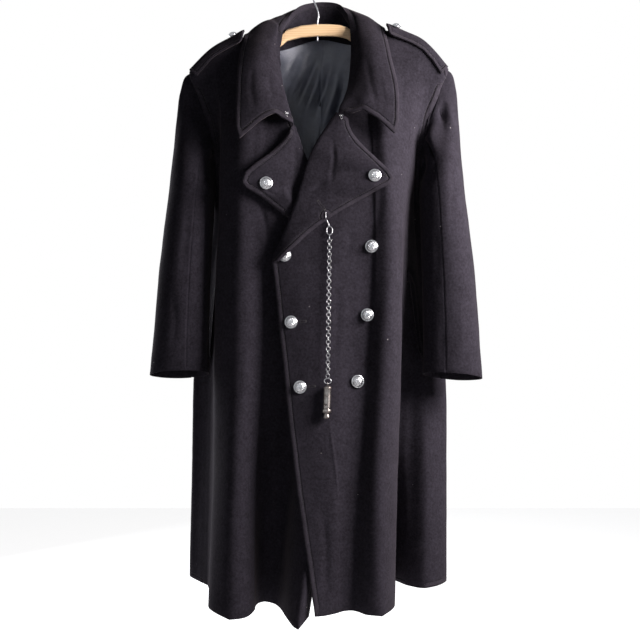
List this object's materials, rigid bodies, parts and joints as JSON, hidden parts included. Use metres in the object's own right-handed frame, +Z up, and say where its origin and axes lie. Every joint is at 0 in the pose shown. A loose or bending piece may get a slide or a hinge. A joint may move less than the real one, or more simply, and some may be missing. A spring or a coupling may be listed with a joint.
{
  "type": "police overcoat on a coat hanger",
  "caption": "Long double-breasted police overcoat of dark wool, hanging with its collar and lapels open on a wooden hanger, with shoulder straps, domed buttons and a whistle on a chain.",
  "frame": {"origin": "centre of the rail that the hanger's hook hangs on", "axes": "+Z up, +X towards the wearer's left, -Y the way the coat's front faces"},
  "size_m": [0.6796, 0.306, 1.302],
  "materials": {
    "wool": "near-black milled wool melton with a short nap",
    "lining": "dark blue-grey satin",
    "nickel": "polished nickel silver",
    "whistle": "worn nickel plate over brass",
    "wood": "pale varnished maple"
  },
  "bodies": {
    "coat": {"front_right": "wool", "front_left": "wool", "back_right": "wool", "back_left": "wool", "under_sleeve_right": "wool", "top_sleeve_right": "wool", "under_sleeve_left": "wool", "top_sleeve_left": "wool", "lapel_right": "wool", "lapel_left": "wool", "collar": "wool", "shoulder_strap_right": "wool", "shoulder_strap_left": "wool", "pocket_welt_right": "wool", "pocket_welt_left": "wool", "back_lining": "lining", "button_lapel_right": "nickel", "button_lapel_left": "nickel", "button_right_top": "nickel", "button_right_middle": "nickel", "button_right_bottom": "nickel", "button_left_top": "nickel", "button_left_middle": "nickel", "button_left_bottom": "nickel", "button_strap_right": "nickel", "button_strap_left": "nickel", "hanger_wood": "wood", "hanger_hook": "nickel", "lapel_hook": "nickel"},
    "chain": {"whistle_chain": "nickel"},
    "whistle": {"whistle": "whistle"}
  },
  "joints": [
    {"name": "chain_swing", "type": "hinge", "parent": "coat", "child": "chain", "pos_m": [0.0228, -0.10829, -0.532], "axis": [-1, 0, 0], "range_deg": [0, 60]},
    {"name": "whistle_swing", "type": "hinge", "parent": "chain", "child": "whistle", "pos_m": [0.019, -0.13429, -0.824], "axis": [-1, 0, 0], "range_deg": [0, 40]}
  ]
}
